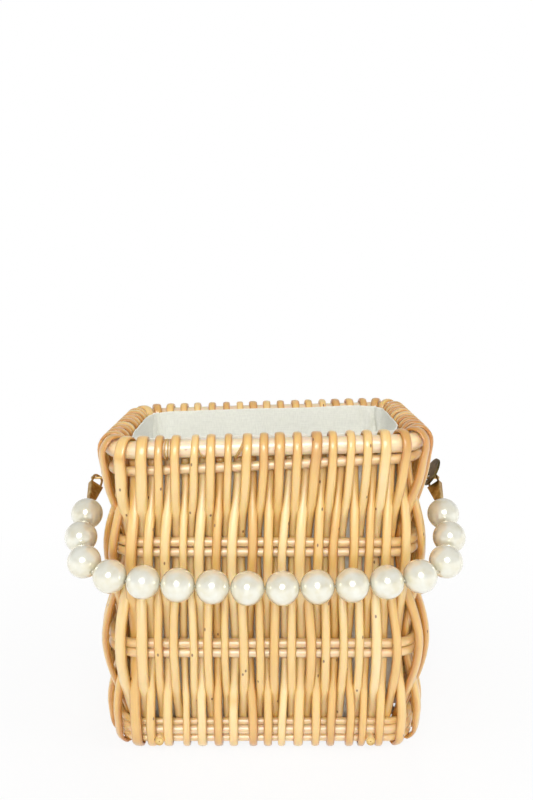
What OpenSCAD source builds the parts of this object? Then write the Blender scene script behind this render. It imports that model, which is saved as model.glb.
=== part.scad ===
// Small square willow basket handbag with a cotton lining and a pearl bead handle.
// Lengths are in millimetres, +Z is up and the front faces -Y.
// Stakes are woven over and under bent rods: one set loops over the rim, the other under the base.

/* [Basket] */
// outer width over the stake loops at the rim
basket_w = 185; // [165:1:210]
// outer depth over the stake loops at the rim
basket_d = 118; // [104:1:140]
// height from the floor to the top of the loops at mid width
basket_h = 184; // [170:1:200]
// corner radius of the wall, along its middle
corner_r = 15; // [13:0.5:20]
// how far the wall bellies out at the lower band
belly = 3.5; // [0:0.1:4]
// how much higher the rim stands at its right end than at its left end
rim_rise = 4.8; // [0:0.2:6]

/* [Rods] */
// thickness of the rail that the stakes loop over
rail_d = 10; // [8:0.2:11]
// thickness of the thin rod under the rail
neck_d = 5.5; // [4:0.1:6.5]
// distance from the middle of the rail down to the middle of the neck rod
neck_drop = 10.2; // [9:0.1:13]
// how much higher the neck rod stands at its right end than at its left end
neck_rise = 8.2; // [0:0.2:8.4]
// thickness of the four band rods
band_d = 5.2; // [4:0.1:6]
// gap between the two rods of a band
band_gap = 0.5; // [0.2:0.1:1.5]
// distance from the top of the loops down to the middle of the upper band
upper_band_drop = 64; // [58:1:70]
// height of the middle of the lower band
lower_band_z = 62; // [50:0.5:68]
// thickness of the thin rod above the bottom rim
foot_d = 3.8; // [3:0.1:5]
// thickness of the bottom rim rod
sill_d = 5.6; // [4.8:0.1:6.5]
// thickness of the lowest rod
base_d = 4.4; // [4:0.1:5.5]
// gap between rods that lie on one another at the foot
rod_gap = 0.3; // [0.2:0.1:0.8]

/* [Stakes] */
// thickness of a stake
stake_d = 3.9; // [3.2:0.1:4]
// wanted spacing of neighbouring stakes
stake_pitch = 4.66; // [4.5:0.02:5.4]
// share by which a stake is thicker or thinner than its neighbours
stake_vary = 0.06; // [0:0.01:0.07]
// width of a stake flattened over a rod
loop_w = 4.6; // [4:0.1:4.8]
// thickness of a stake flattened over a rod
loop_t = 2.2; // [1.6:0.1:2.6]
// sideways lean of all the stakes between the upper band and the rail
stake_lean = 2.5; // [0:0.1:3]
// how far a stake wanders sideways at the rail
rim_wander = 0.8; // [0:0.1:1]
// how far a stake wanders sideways at the bands and the foot
wall_wander = 1.2; // [0:0.1:1.4]
// clearance between a stake and the rod that it passes
weave_gap = 0.15; // [0.1:0.05:0.3]

/* [Base] */
// distance of each base runner in from the middle of the side wall
runner_in = 24.95; // [22.95:0.5:34.95]
// thickness of a base runner
runner_d = 5; // [4:0.1:5.2]
// how far a runner's cut end stands out past the middle of the wall
runner_reach = 7.5; // [6:0.1:7.5]
// number of slats woven across the runners
slat_count = 17; // [9:1:17]
// width of a slat
slat_w = 4.2; // [3:0.1:4.6]
// thickness of a slat
slat_t = 1.8; // [1.2:0.1:2]

/* [Lining] */
// thickness of the cloth with its turned hem
lining_t = 0.9; // [0.6:0.1:1.2]
// clearance between the lining and the stakes
lining_gap = 0.5; // [0.3:0.1:1.5]
// drop from the top of the loops to the lining's edge
lining_drop = 1.4; // [0.6:0.2:8]

/* [Handle] */
// diameter of a pearl
pearl_d = 18.2; // [16:0.1:19]
// gap between neighbouring pearls
pearl_gap = 0.2; // [0.1:0.1:1]
// diameter of the hole through a pearl
bore_d = 3.2; // [3:0.1:3.6]
// thickness of the cord that the pearls are strung on
cord_d = 0.8; // [0.5:0.1:0.9]
// clearance between the front wall and the pearls
strand_gap = 4.8; // [4.4:0.2:10]
// height of the pins that the handle turns on, above the middle of the upper band
pin_rise = 25; // [23:0.5:31]
// thickness of a pin
pin_d = 1.6; // [1.2:0.1:2]
// diameter of the washer that holds a pin inside the wall
washer_d = 7; // [5:0.5:9]
// thickness of the washer
washer_t = 1; // [0.6:0.1:1.2]
// distance from the middle of the wall in to the washer's inner face
pin_in = 5.9; // [5.6:0.1:6.4]
// distance from a bail out to the middle of the ball at its pin's end
pin_out = 3.2; // [3:0.1:6]
// diameter of the ball at a pin's end
ball_d = 2.3; // [2:0.1:2.6]
// distance from the wall's outer face to a bail, along its pin
bail_out = 10.5; // [10:0.5:13]
// thickness of a bail's wire
wire_d = 1.4; // [1:0.1:1.6]
// inner width of a bail
bail_w = 5; // [4.6:0.1:7]
// turn of a bail about the strand, away from lying along its pin
bail_turn = 45; // [42:1:50]
// distance from a pin down the strand to its end cap
cap_drop = 6.5; // [6:0.1:9]
// length of an end cap
cap_len = 14.2; // [11:0.2:16]
// width of an end cap at the bail
cap_top_w = 7.6; // [7.4:0.1:9]
// width of an end cap at the pearls
cap_low_w = 4.2; // [3.6:0.1:6]
// thickness of an end cap
cap_t = 3.6; // [3:0.1:5]
// diameter of the hole for the cord in a cap
cap_hole_d = 1.8; // [1.4:0.1:2.4]

/* [Tag] */
// diameter of the plain tag disc
tag_d = 18; // [12:0.5:20]
// thickness of the tag disc
tag_t = 1.2; // [0.8:0.1:2]
// diameter of the hole in the tag disc
tag_hole_d = 5.2; // [4.8:0.1:6]
// lean of the tag disc away from the wall
tag_lean = 28; // [15:1:32]
// distance from a bail in to the tag disc, along the pin
tag_in = 2.8; // [2.7:0.1:4.6]

/* [Hidden] */
$fn = 48;

willow = [0.90, 0.74, 0.47];
willow_dark = [0.79, 0.58, 0.30];
cloth = [0.92, 0.92, 0.89];
pearl_white = [0.95, 0.93, 0.88];
brass = [0.60, 0.48, 0.27];
bronze = [0.30, 0.25, 0.14];

// the wall's middle surface
rim_out = rail_d / 2 + weave_gap + loop_t + 0.2;
hw = basket_w / 2 - rim_out;
hd = basket_d / 2 - rim_out;
run_x = hw - corner_r;
run_y = hd - corner_r;
runner_x = hw - runner_in;
arc = corner_r * PI / 2;
round_len = 4 * run_x + 4 * run_y + 4 * arc;
stakes = 4 * round(round_len / (4 * stake_pitch));
pitch = round_len / stakes;

// heights of the rods' middles
rail_z = basket_h - loop_t - weave_gap - rail_d / 2;
neck_z = rail_z - neck_drop;
upper_band_z = basket_h - upper_band_drop;
pin_z = upper_band_z + pin_rise;
band_step = (band_d + band_gap) / 2;
base_z = loop_t + weave_gap + base_d / 2;
sill_z = base_z + base_d / 2 + rod_gap + sill_d / 2;
foot_z = sill_z + sill_d / 2 + rod_gap + foot_d / 2;
runner_z = base_z + base_d / 2 + rod_gap / 2;

// a stake's six-sided section is this thick at its flats, for each unit of its radius
flat = sqrt(3) / 2;
thick = stake_d / 2 * (1 + stake_vary) * flat;
band_off = band_d / 2 + weave_gap + thick + 0.85;
neck_off = neck_d / 2 + weave_gap + thick + 1.05;
neck_back = neck_d / 2 + weave_gap + thick;
sill_off = sill_d / 2 + weave_gap + thick + 0.1;
foot_out = sill_off + 1.1;
foot_in = sill_off + 0.5;
runner_top = runner_z + runner_d / 2;

// inner face of the wall and the strand's place in front of its outer face
inner = rail_d / 2 + weave_gap + loop_t + 0.2;
lining_off = inner + lining_gap;
bail_x = hw + rim_out + bail_out;
pearl_step = pearl_d + pearl_gap;
front_y = -(hd + rim_out + strand_gap + pearl_d / 2);
cap_low = cap_drop + cap_len;
lead = cap_low + 1.4 + pearl_d / 2;
tag_x = bail_x - tag_in;
tag_off = tag_d / 2 - 4.8;

// the basket stands back of the origin, so that the part's box is centred on it
back_out = max(rim_out, belly + band_off + thick);
seat_y = (-front_y + pearl_d / 2 - hd - back_out) / 2;

function hash(k, s) = let (v = sin(k * 127.1 + s * 311.7) * 437.585) v - floor(v);
function mod_len(u) = u - floor(u / round_len) * round_len;
function rail_at(x) = rail_z + x * rim_rise / (2 * hw);
function neck_at(x) = neck_z + x * neck_rise / (2 * hw);

// point, outward direction and forward direction of the wall's middle at distance u round it
function arc_at(c, a) = [[c[0] + corner_r * sin(a), c[1] - corner_r * cos(a)], [sin(a), -cos(a)], [cos(a), sin(a)]];
function wall_at(v) = let (u = mod_len(v), s1 = run_x, s2 = s1 + arc, s3 = s2 + 2 * run_y, s4 = s3 + arc,
    s5 = s4 + 2 * run_x, s6 = s5 + arc, s7 = s6 + 2 * run_y, s8 = s7 + arc, deg = 90 / arc)
  u < s1 ? [[u, -hd], [0, -1], [1, 0]] :
  u < s2 ? arc_at([run_x, -run_y], (u - s1) * deg) :
  u < s3 ? [[hw, -run_y + u - s2], [1, 0], [0, 1]] :
  u < s4 ? arc_at([run_x, run_y], 90 + (u - s3) * deg) :
  u < s5 ? [[run_x - u + s4, hd], [0, 1], [-1, 0]] :
  u < s6 ? arc_at([-run_x, run_y], 180 + (u - s5) * deg) :
  u < s7 ? [[-hw, run_y - u + s6], [-1, 0], [0, -1]] :
  u < s8 ? arc_at([-run_x, -run_y], 270 + (u - s7) * deg) : [[u - round_len, -hd], [0, -1], [1, 0]];

// the stakes stand apart at the two pins, lean together above the upper band and wander less near pins and runners
function pin_dist(u) = let (a = mod_len(u), q = round_len / 4) a < 2 * q ? a - q : a - 3 * q;
function rest_u(k) = let (u = (k + 0.5) * pitch, d = pin_dist(u)) u + sign(d) * 1.5 * exp(-abs(d) / 12);
function lean_part(z) = min(1, max(0, (z - upper_band_z) / (rail_z - upper_band_z)));
function lean(z) = stake_lean * (lean_part(z) - lean_part(pin_z));
function sway(k) = let (u = (k + 0.5) * pitch, d = pin_dist(u), e = abs(wall_at(u)[0][0]) - runner_x)
  (2 * hash(k, 1) - 1) * (1 - 0.8 * exp(-d * d / 200)) * (1 - 0.85 * exp(-e * e / 80));
function radius(k) = stake_d / 2 * (1 + stake_vary * (2 * hash(k, 2) - 1));

// a base stake stands clear of the runner that passes between it and its neighbour
function beside(d, r) = abs(d) < 1.5 * pitch ? sign(d) * (runner_d / 2 + r + 0.35) - d : 0;
function past_runner(u, r) = let (p = wall_at(u)[0], way = p[1] < 0 ? 1 : -1, d = p[0] - sign(p[0]) * runner_x)
  way * beside(d, r);
function foot_u(k) = let (u = rest_u(k) + lean(0) - wall_wander * sway(k), r = radius(k),
    plain = rest_u(k) + lean(0), fix = past_runner(plain, r)) fix == 0 ? u : plain + fix;

// each row is distance round the wall, distance out from its middle, height, half width and half thickness
function rim_rows(k) = let (u = rest_u(k), w = sway(k), r = radius(k), t = r * flat, x = wall_at(u)[0][0],
    zr = rail_at(x), zn = neck_at(x), a = loop_w / 2, b = loop_t / 2, far = rail_d / 2 + weave_gap + b,
    side = far * tan(22.5), ur = u + lean(rail_z) + rim_wander * w)
  [[ur - 0.5, -far - 0.1, zr + 0.3, a * 0.84, b], [ur - 0.4, -far - 0.1, zr + side, a * 0.88, b],
   [ur - 0.1, -side, zr + far, a, b], [ur, side, zr + far, a, b], [ur, far + 0.2, zr + side, a, b],
   [u + lean(neck_z) + rim_wander * w * 0.8, neck_off, zn - 3.5, r * 1.05, t],
   [u + lean(upper_band_z) - wall_wander * w, -band_off, upper_band_z, r, t],
   [u + lean(lower_band_z) + wall_wander * w, belly + band_off, lower_band_z, r, t],
   [u + lean(0) - wall_wander * w * 0.6, -foot_in, runner_top + 0.6, r, t]];
function base_rows(k) = let (u = rest_u(k), w = sway(k), r = radius(k), t = r * flat, x = wall_at(u)[0][0],
    zr = rail_at(x), zn = neck_at(x), a = loop_w / 2, b = loop_t / 2, far = base_d / 2 + weave_gap + b,
    side = far * tan(22.5), uf = foot_u(k))
  [[u + lean(neck_z) + wall_wander * w, -neck_back, zr - 5.9, r, t],
   [u + lean(neck_z) + wall_wander * w, -neck_back, zn - 3, r, t],
   [u + lean(upper_band_z) - wall_wander * w, band_off, upper_band_z, r, t],
   [u + lean(lower_band_z) + wall_wander * w, belly - band_off, lower_band_z, r, t],
   [uf, foot_out, foot_z + 0.6, r, t], [uf, far + 0.2, base_z - side, a * 0.92, b],
   [uf, side, b, a * 0.92, b], [uf, -6.5, b, a * 0.7, b]];

// outward direction across a row, mitred so that the flats of a bent stake keep their thickness
function unit(v) = v / norm(v);
function turn(v) = [-v[1], v[0]];
function way(rows, i) = turn(unit([rows[i + 1][1] - rows[i][1], rows[i + 1][2] - rows[i][2]]));
function mitre(rows, i) = let (n = len(rows)) i == 0 ? way(rows, 0) : i == n - 1 ? way(rows, n - 2) :
  let (p = way(rows, i - 1), q = way(rows, i)) (p + q) / (1 + p * q);
function ring(row, m) = let (f = wall_at(row[0]), o = f[1], s = f[2], a = row[3], b = row[4],
    c = [f[0][0] + o[0] * row[1], f[0][1] + o[1] * row[1], row[2]],
    across = [s[0], s[1], 0] * a, out = [o[0] * m[0], o[1] * m[0], m[1]] * b)
  [c + across, c + across / 2 + out, c - across / 2 + out, c - across, c - across / 2 - out, c + across / 2 - out];
function flatten(l) = [for (a = l) for (b = a) b];

// a closed bar through rings that each have the same number of points
module bar(rings) {
  n = len(rings);
  s = len(rings[0]);
  sides = [for (i = [0 : n - 2]) for (j = [0 : s - 1]) let (a = i * s + j, b = i * s + (j + 1) % s)
    [[a, a + s, b + s], [a, b + s, b]]];
  ends = [[for (j = [0 : s - 1]) j], [for (j = [s - 1 : -1 : 0]) (n - 1) * s + j]];
  polyhedron(points = flatten(rings), faces = concat(flatten(sides), ends));
}

module seat() { translate([0, seat_y, 0]) children(); }
module stake(rows) { bar([for (i = [0 : len(rows) - 1]) ring(rows[i], mitre(rows, i))]); }

// stakes of one set on one side: a rim stake has an odd number, and a base stake an even one
corner_k = floor((run_x + arc / 2) / pitch);
module side_stakes(from, to, odd) {
  seat() for (k = [from : to]) if ((k % 2 + 2) % 2 == odd) {
    if (odd == 1) stake(rim_rows(k)); else stake(base_rows(k));
  }
}

// a rod bent into a closed hoop, which stands out from the wall's middle by the given growth
module hoop(d, z, rise = 0, grow = 0) {
  x = hw + grow;
  y = hd + grow;
  seat() translate([0, 0, z]) rotate([0, -atan(rise / (2 * hw)), 0]) {
    for (s = [-y, y]) translate([-run_x, s, 0]) rotate([0, 90, 0]) cylinder(d = d, h = 2 * run_x);
    for (s = [-x, x]) translate([s, run_y, 0]) rotate([90, 0, 0]) cylinder(d = d, h = 2 * run_y);
    for (q = [0 : 3]) translate([(q == 0 || q == 3 ? 1 : -1) * run_x, (q < 2 ? 1 : -1) * run_y, 0])
      rotate([0, 0, 90 * q]) rotate_extrude(angle = 90) translate([corner_r + grow, 0]) circle(d = d);
  }
}
module runner(x, d) {
  seat() translate([x, hd + runner_reach, runner_z]) rotate([90, 0, 0]) cylinder(d = d, h = 2 * (hd + runner_reach));
}
// the foot rods are notched where the runners pass between them
module notched() {
  difference() {
    children();
    runner(-runner_x, runner_d + 0.2);
    runner(runner_x, runner_d + 0.2);
  }
}

module top_rail() { color(willow_dark) hoop(rail_d, rail_z, rim_rise); }
module neck_rod() { color(willow) hoop(neck_d, neck_z, neck_rise); }
module upper_band_top() { color(willow) hoop(band_d, upper_band_z + band_step); }
module upper_band_low() { color(willow) hoop(band_d, upper_band_z - band_step); }
module lower_band_top() { color(willow) hoop(band_d, lower_band_z + band_step, 0, belly); }
module lower_band_low() { color(willow) hoop(band_d, lower_band_z - band_step, 0, belly); }
module foot_rod() { color(willow) hoop(foot_d, foot_z); }
module bottom_rim() { color(willow) notched() hoop(sill_d, sill_z); }
module base_rod() { color(willow_dark) notched() hoop(base_d, base_z); }

module front_rim_stakes() { color(willow) side_stakes(-corner_k - 1, corner_k, 1); }
module front_base_stakes() { color(willow_dark) side_stakes(-corner_k - 1, corner_k, 0); }
module right_rim_stakes() { color(willow) side_stakes(corner_k + 1, stakes / 2 - corner_k - 2, 1); }
module right_base_stakes() { color(willow_dark) side_stakes(corner_k + 1, stakes / 2 - corner_k - 2, 0); }
module back_rim_stakes() { color(willow) side_stakes(stakes / 2 - corner_k - 1, stakes / 2 + corner_k, 1); }
module back_base_stakes() { color(willow_dark) side_stakes(stakes / 2 - corner_k - 1, stakes / 2 + corner_k, 0); }
module left_rim_stakes() { color(willow) side_stakes(stakes / 2 + corner_k + 1, stakes - corner_k - 2, 1); }
module left_base_stakes() { color(willow_dark) side_stakes(stakes / 2 + corner_k + 1, stakes - corner_k - 2, 0); }

module runner_left() { color(willow_dark) runner(-runner_x, runner_d); }
module runner_right() { color(willow_dark) runner(runner_x, runner_d); }

// slats pass over one runner and under the other, in turn
slat_end = hw - lining_off - 2;
slat_lift = runner_d / 2 + 0.2 + slat_t / 2;
slat_pitch = 2 * (hd - foot_in - thick - 0.6 - slat_w / 2) / (slat_count - 1);
function slat_ring(x, y, z) = [for (c = [[-1, -1], [-1, 1], [1, 1], [1, -1]])
  [x, y + c[0] * slat_w / 2, z + c[1] * slat_t / 2]];
module base_slats() {
  color(willow) seat() for (i = [0 : slat_count - 1]) {
    y = (i - (slat_count - 1) / 2) * slat_pitch;
    s = i % 2 == 0 ? 1 : -1;
    bar([slat_ring(-slat_end, y, runner_z), slat_ring(-runner_x, y, runner_z + s * slat_lift),
      slat_ring(runner_x, y, runner_z - s * slat_lift), slat_ring(slat_end, y, runner_z)]);
  }
}

// straw wound round the rail in the gap between two loops
lash_d = 0.9;
lash_k = -2 * round(52 / (2 * pitch));
lash_u = (lash_k + 0.5) * pitch + lean(rail_z);
module rail_lashing() {
  color(willow) seat() for (i = [-1 : 1]) translate([lash_u + i * 0.95, -hd, rail_at(lash_u + i * 0.95)])
    rotate([0, 90 - atan(rim_rise / (2 * hw)), 0]) rotate_extrude() translate([rail_d / 2 + lash_d / 2 + 0.08, 0])
      circle(d = lash_d);
}

module slab(w, d, r, h) {
  linear_extrude(height = h) {
    square([w - 2 * r, d], center = true);
    square([w, d - 2 * r], center = true);
    for (x = [-1, 1], y = [-1, 1]) translate([x * (w / 2 - r), y * (d / 2 - r)]) circle(r = r);
  }
}
lining_w = 2 * (hw - lining_off);
lining_d = 2 * (hd - lining_off);
lining_r = corner_r - lining_off;
lining_z = runner_z + slat_lift + slat_t / 2 + 0.4;
module lining() {
  color(cloth) seat() difference() {
    translate([0, 0, lining_z]) slab(lining_w, lining_d, lining_r, basket_h - lining_z);
    translate([0, 0, lining_z + lining_t])
      slab(lining_w - 2 * lining_t, lining_d - 2 * lining_t, lining_r - lining_t, basket_h);
    translate([0, 0, basket_h - lining_drop]) rotate([0, -atan(rim_rise / (2 * hw)), 0])
      translate([-basket_w, -basket_d, 0]) cube([2 * basket_w, 2 * basket_d, 30]);
  }
}

// a pin stands out from each side wall, held by a washer inside the stakes and by a ball at its end
module pin_right_solid() {
  translate([0, 0, pin_z]) rotate([0, 90, 0]) {
    translate([0, 0, hw - pin_in]) cylinder(d = washer_d, h = washer_t);
    translate([0, 0, hw - pin_in]) cylinder(d = pin_d, h = bail_x + pin_out - hw + pin_in);
    translate([0, 0, bail_x + pin_out]) sphere(d = ball_d);
  }
}
module pin_right() { color(brass) seat() pin_right_solid(); }
module pin_left() { color(brass) seat() mirror([1, 0, 0]) pin_right_solid(); }

// half of the strand hangs on a smooth curve from a pin to mid width, and its drop takes up its length
function curve(c, t) = (1 - t) * (1 - t) * (1 - t) * c[0] + 3 * (1 - t) * (1 - t) * t * c[1]
  + 3 * (1 - t) * t * t * c[2] + t * t * t * c[3];
function route(drop) = [[bail_x, 0, pin_z], [bail_x, front_y * 0.95, pin_z - drop * 0.85],
  [bail_x + 15, front_y, pin_z - drop * 0.9], [0, front_y, pin_z - drop]];
function seek(c, from, lo, hi, n) = let (m = (lo + hi) / 2) n == 0 ? m :
  norm(curve(c, m) - from) > pearl_step ? seek(c, from, m, hi, n - 1) : seek(c, from, lo, m, n - 1);
function seek_first(c, lo, hi, n) = let (m = (lo + hi) / 2) n == 0 ? m :
  curve(c, m)[0] > pearl_step / 2 ? seek_first(c, m, hi, n - 1) : seek_first(c, lo, m, n - 1);
function march(c, t, i) = i == 0 ? [curve(c, t)] :
  concat([curve(c, t)], march(c, seek(c, curve(c, t), 0, t, 16), i - 1));
function beads(drop) = let (c = route(drop)) march(c, seek_first(c, 0, 1, 16), 7);
function fit_drop(lo, hi, n) = let (m = (lo + hi) / 2) n == 0 ? m :
  norm(beads(m)[7] - [bail_x, 0, pin_z]) > lead ? fit_drop(lo, m, n - 1) : fit_drop(m, hi, n - 1);
half_strand = beads(fit_drop(5, pin_z + 10, 15));

// pearls 1 to 16 from the left end to the right end, and the directions between them
end_way = unit(half_strand[7] - [bail_x, 0, pin_z]);
right_end = [bail_x, 0, pin_z] + end_way * (cap_low - 5);
function flip(p) = [-p[0], p[1], p[2]];
strand = concat([flip(right_end)], [for (i = [7 : -1 : 0]) flip(half_strand[i])], half_strand, [right_end]);

function bead_way(i) = unit(strand[i + 1] - strand[i - 1]);

module along(v) { rotate([0, acos(v[2] / norm(v)), atan2(v[1], v[0])]) children(); }
module pearl(i) {
  color(pearl_white) seat() translate(strand[i]) along(bead_way(i)) rotate_extrude() difference() {
    circle(d = pearl_d);
    translate([-pearl_d, -pearl_d]) square([pearl_d + bore_d / 2, 2 * pearl_d]);
  }
}
module pearl_01() { pearl(1); }
module pearl_02() { pearl(2); }
module pearl_03() { pearl(3); }
module pearl_04() { pearl(4); }
module pearl_05() { pearl(5); }
module pearl_06() { pearl(6); }
module pearl_07() { pearl(7); }
module pearl_08() { pearl(8); }
module pearl_09() { pearl(9); }
module pearl_10() { pearl(10); }
module pearl_11() { pearl(11); }
module pearl_12() { pearl(12); }
module pearl_13() { pearl(13); }
module pearl_14() { pearl(14); }
module pearl_15() { pearl(15); }
module pearl_16() { pearl(16); }

// the cord bends between the pearls and runs straight through each of them
cap_mouth = [bail_x, 0, pin_z] + end_way * cap_low;
function cord_mid(i) = i == 0 ? (flip(cap_mouth) + strand[1] - bead_way(1) * pearl_d / 2) / 2 :
  i == 16 ? (cap_mouth + strand[16] + bead_way(16) * pearl_d / 2) / 2 :
  (strand[i] + bead_way(i) * pearl_d / 2 + strand[i + 1] - bead_way(i + 1) * pearl_d / 2) / 2;
cord = concat([strand[0]], [for (i = [0 : 16]) cord_mid(i)], [strand[17]]);
function cord_way(i) = let (n = len(cord)) unit(cord[min(i + 1, n - 1)] - cord[max(i - 1, 0)]);
function cord_ring(i) = let (w = cord_way(i), s = unit(cross(w, [0, 0, 1])), t = cross(s, w))
  [for (a = [0 : 60 : 300]) cord[i] + cord_d / 2 * (cos(a) * t + sin(a) * s)];
module strand_cord() { color(cloth) seat() bar([for (i = [0 : len(cord) - 1]) cord_ring(i)]); }

// places a fitting on the right pin, with its -Z along the strand
module on_strand() {
  translate([bail_x, 0, pin_z]) rotate([-acos(-end_way[2]), 0, atan2(end_way[0], -end_way[1])])
    rotate([0, 0, -bail_turn]) children();
}
bail_r = (bail_w + wire_d) / 2;
arch_z = pin_d / 2 + wire_d / 2 + 0.15 - bail_r;
leg_low = -cap_drop - 2.6;
module bail_solid() {
  on_strand() {
    translate([0, 0, arch_z]) rotate([90, 0, 0]) rotate_extrude(angle = 180) translate([bail_r, 0]) circle(d = wire_d);
    for (x = [-bail_r, bail_r]) translate([x, 0, leg_low]) cylinder(d = wire_d, h = arch_z - leg_low);
  }
}
module bail_right() { color(brass) seat() bail_solid(); }
module bail_left() { color(brass) seat() mirror([1, 0, 0]) bail_solid(); }

// a wedge with two holes for the legs of its bail and one for the cord
module cap_solid() {
  on_strand() difference() {
    rotate([90, 0, 0]) linear_extrude(height = cap_t, center = true)
      polygon([[-cap_top_w / 2 - wire_d / 2, -cap_drop], [cap_top_w / 2 + wire_d / 2, -cap_drop],
        [cap_low_w / 2, -cap_low], [-cap_low_w / 2, -cap_low]]);
    for (x = [-bail_r, bail_r]) translate([x, 0, leg_low - 0.1]) cylinder(d = wire_d + 0.1, h = 4);
    translate([0, 0, -cap_low - 1]) cylinder(d = cap_hole_d, h = 6.4);
  }
}
module cap_right() { color(brass) seat() cap_solid(); }
module cap_left() { color(brass) seat() mirror([1, 0, 0]) cap_solid(); }

module tag_disc() {
  color(bronze) seat() translate([tag_x, 0, pin_z]) rotate([0, tag_lean, 0]) rotate([0, 90, 0]) difference() {
    translate([-tag_off, 0, -tag_t / 2]) cylinder(d = tag_d, h = tag_t);
    translate([0, 0, -tag_t]) cylinder(d = tag_hole_d, h = 2 * tag_t);
  }
}

top_rail();
neck_rod();
upper_band_top();
upper_band_low();
lower_band_top();
lower_band_low();
foot_rod();
bottom_rim();
base_rod();
front_rim_stakes();
front_base_stakes();
right_rim_stakes();
right_base_stakes();
back_rim_stakes();
back_base_stakes();
left_rim_stakes();
left_base_stakes();
runner_left();
runner_right();
base_slats();
rail_lashing();
lining();
pin_left();
pin_right();
bail_left();
bail_right();
cap_left();
cap_right();
pearl_01();
pearl_02();
pearl_03();
pearl_04();
pearl_05();
pearl_06();
pearl_07();
pearl_08();
pearl_09();
pearl_10();
pearl_11();
pearl_12();
pearl_13();
pearl_14();
pearl_15();
pearl_16();
strand_cord();
tag_disc();
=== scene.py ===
"""Looks of a small willow basket handbag with a cotton lining and a pearl bead handle."""

import math

import bmesh
import bpy
from mathutils import Matrix, Vector, noise


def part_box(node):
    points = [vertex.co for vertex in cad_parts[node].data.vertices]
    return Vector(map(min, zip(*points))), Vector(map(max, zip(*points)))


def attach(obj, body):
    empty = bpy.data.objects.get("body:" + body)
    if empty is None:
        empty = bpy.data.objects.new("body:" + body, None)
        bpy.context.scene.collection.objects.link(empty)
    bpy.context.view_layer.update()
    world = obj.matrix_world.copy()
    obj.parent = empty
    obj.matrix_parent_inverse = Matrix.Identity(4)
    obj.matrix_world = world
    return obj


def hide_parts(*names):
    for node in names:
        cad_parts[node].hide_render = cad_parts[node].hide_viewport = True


bl_info = {
    "name": "Willow basket handbag",
    "version": (1, 0, 0),
    "blender": (4, 5, 0),
    "location": "View3D > Sidebar > Basket",
    "description": "Willow rods and stakes, cotton lining and pearl bead handle of a small basket bag",
    "category": "Object",
}

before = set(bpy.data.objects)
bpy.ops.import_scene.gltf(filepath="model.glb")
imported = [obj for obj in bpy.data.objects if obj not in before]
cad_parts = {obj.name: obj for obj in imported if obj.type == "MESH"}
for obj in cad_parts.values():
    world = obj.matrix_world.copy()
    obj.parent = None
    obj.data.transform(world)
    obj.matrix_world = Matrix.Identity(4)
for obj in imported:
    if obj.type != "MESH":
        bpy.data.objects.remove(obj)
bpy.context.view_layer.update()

MM = 0.001
# One unit of the UV maps, and the real sizes of the materials' patterns, in mm.
UV_MM = 100.0
BUD_MM = 8.0
GRAIN_RUN_MM = 15.0
PATCH_W_MM = 9.0
PATCH_RUN_MM = 38.0
PEARL_CLOUD_MM = 6.0
PATINA_MM = 3.5


def linear(code):
    """Linear colour of an sRGB hex code."""
    parts = [int(code[i : i + 2], 16) / 255 for i in (0, 2, 4)]
    return [c / 12.92 if c <= 0.04045 else ((c + 0.055) / 1.055) ** 2.4 for c in parts]


def middle(node):
    """Middle of a CAD node's box, in mm."""
    low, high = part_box(node)
    return (low + high) / 2 / MM


def extent(node):
    """Size of a CAD node's box, in mm."""
    low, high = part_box(node)
    return (high - low) / MM


# Sizes in mm, read from the solids where they show them.
CORNER_R = 15.0
RAIL_D = 10.0
NECK_D = 5.5
BAND_D = extent("upper_band_top").z
FOOT_D = extent("foot_rod").z
SILL_D = extent("bottom_rim").z
BASE_D = extent("base_rod").z
SEAT_Y = middle("upper_band_top").y
HALF_W = (extent("upper_band_top").x - BAND_D) / 2
HALF_D = (extent("upper_band_top").y - BAND_D) / 2
BELLY = (extent("lower_band_top").x - extent("upper_band_top").x) / 2
RIM_RISE = 4.8
NECK_RISE = 8.2
RAIL_Z = middle("top_rail").z
NECK_Z = middle("neck_rod").z
UPPER_Z = (middle("upper_band_top").z + middle("upper_band_low").z) / 2
LOWER_Z = (middle("lower_band_top").z + middle("lower_band_low").z) / 2
FOOT_Z = middle("foot_rod").z
SILL_Z = middle("bottom_rim").z
BASE_Z = middle("base_rod").z
PIN_Z = middle("pin_right").z
RUNNER_X = middle("runner_right").x
RUNNER_D = extent("runner_right").z
RUNNER_TOP = middle("runner_right").z + RUNNER_D / 2
STAKE_D = 3.9
STAKE_VARY = 0.06
STAKE_PITCH = 4.66
LOOP_W = 4.6
LOOP_T = 2.2
STAKE_LEAN = 2.5
RIM_WANDER = 0.8
WALL_WANDER = 1.5
WEAVE_GAP = 0.15
# Half height of a six-sided bar, as a share of its half width.
FLAT = math.sqrt(3) / 2
# How far stakes stand apart beside a pin, and how far along the wall that reaches.
PIN_PARTING = 1.5
PIN_REACH = 12.0
# What stakes keep free between them and the rods, beyond the gap of the weave.
BAND_SLACK = 0.85
NECK_SLACK = 1.05
SILL_SLACK = 0.1
FOOT_OUT_SLACK = 1.1
FOOT_IN_SLACK = 0.5
RUNNER_SLACK = 0.35
LOOP_SLACK = 0.2
# Heights at which stakes begin, bend and end, from the rods' middles.
TIP_UP = 0.3
NECK_DOWN = 3.5
TAIL_DOWN = 5.9
TAIL_BEND = 3.0
FOOT_UP = 0.6
# How far a base stake runs in under the floor.
TOE_IN = 6.5

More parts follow.
